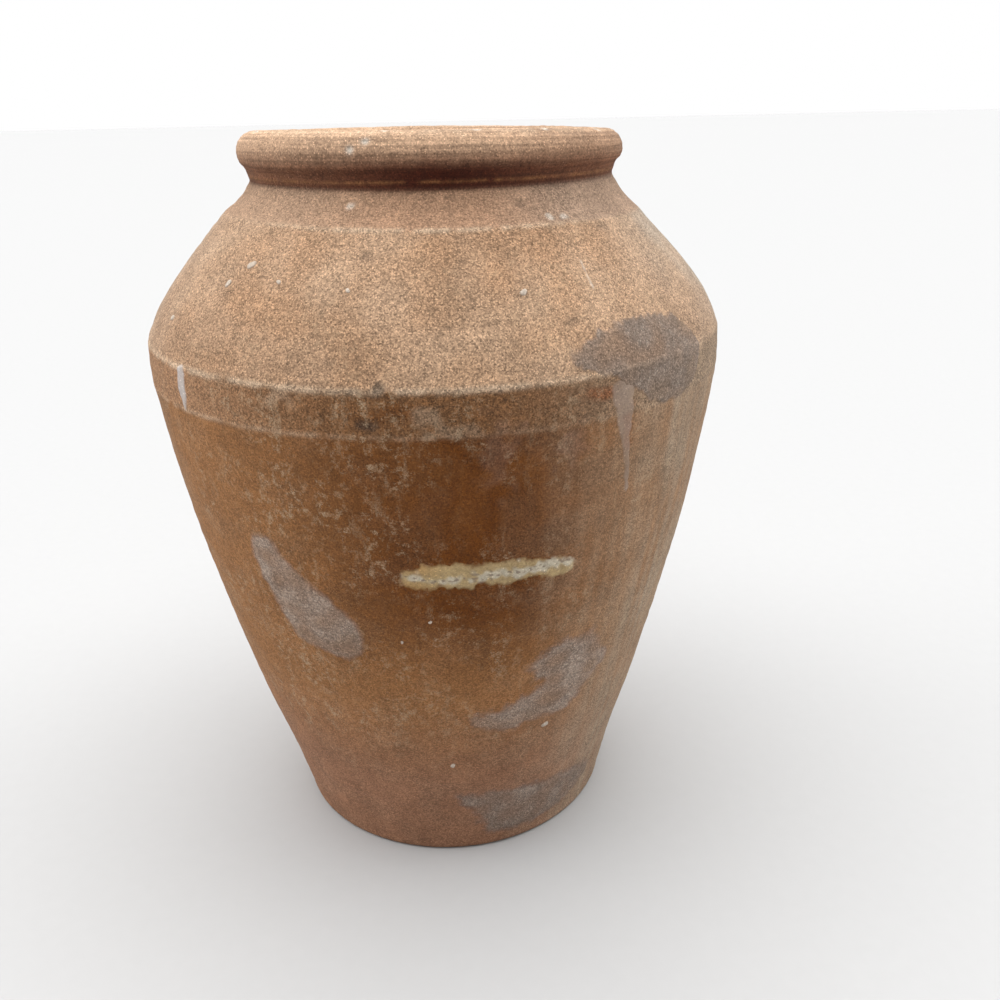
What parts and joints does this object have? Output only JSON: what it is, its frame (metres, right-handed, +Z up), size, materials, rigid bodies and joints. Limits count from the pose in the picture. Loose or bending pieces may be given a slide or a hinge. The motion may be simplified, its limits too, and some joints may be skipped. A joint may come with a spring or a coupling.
{
  "type": "terracotta jar",
  "caption": "Hand-thrown terracotta jar used as a garden pot, tapering to the foot, with a ridged shoulder and a rolled rim, weathered and mortar-stained.",
  "frame": {"origin": "centre of the jar's footprint, on the surface it stands on", "axes": "+Z up along the jar's own axis; the front, with the strip of dried adhesive, faces -Y; +X is to the right seen from the front"},
  "size_m": [0.394, 0.394, 0.5],
  "materials": {
    "terracotta": "unglazed, sandy, dusty burnt orange-brown",
    "terracotta_shoulder": "unglazed, sandy, pale salmon-tan",
    "terracotta_rim": "unglazed, finely striated by the thrower's fingers",
    "mortar": "thin grey-mauve cement smear, matte and gritty",
    "adhesive": "dried adhesive, yellow edges and a whitish porous middle",
    "lime": "chalky white lime"
  },
  "bodies": {
    "root": {"base_slab": "terracotta", "lower_wall": "terracotta", "upper_wall": "terracotta", "join_band": "terracotta", "shoulder": "terracotta_shoulder", "neck_collar": "terracotta_shoulder", "rim_roll": "terracotta_rim", "mortar_patch_shoulder": "mortar", "mortar_patch_left": "mortar", "mortar_patch_right": "mortar", "mortar_patch_foot": "mortar", "adhesive_strip": "adhesive", "lime_runs": "lime", "lime_specks": "lime"}
  },
  "joints": []
}
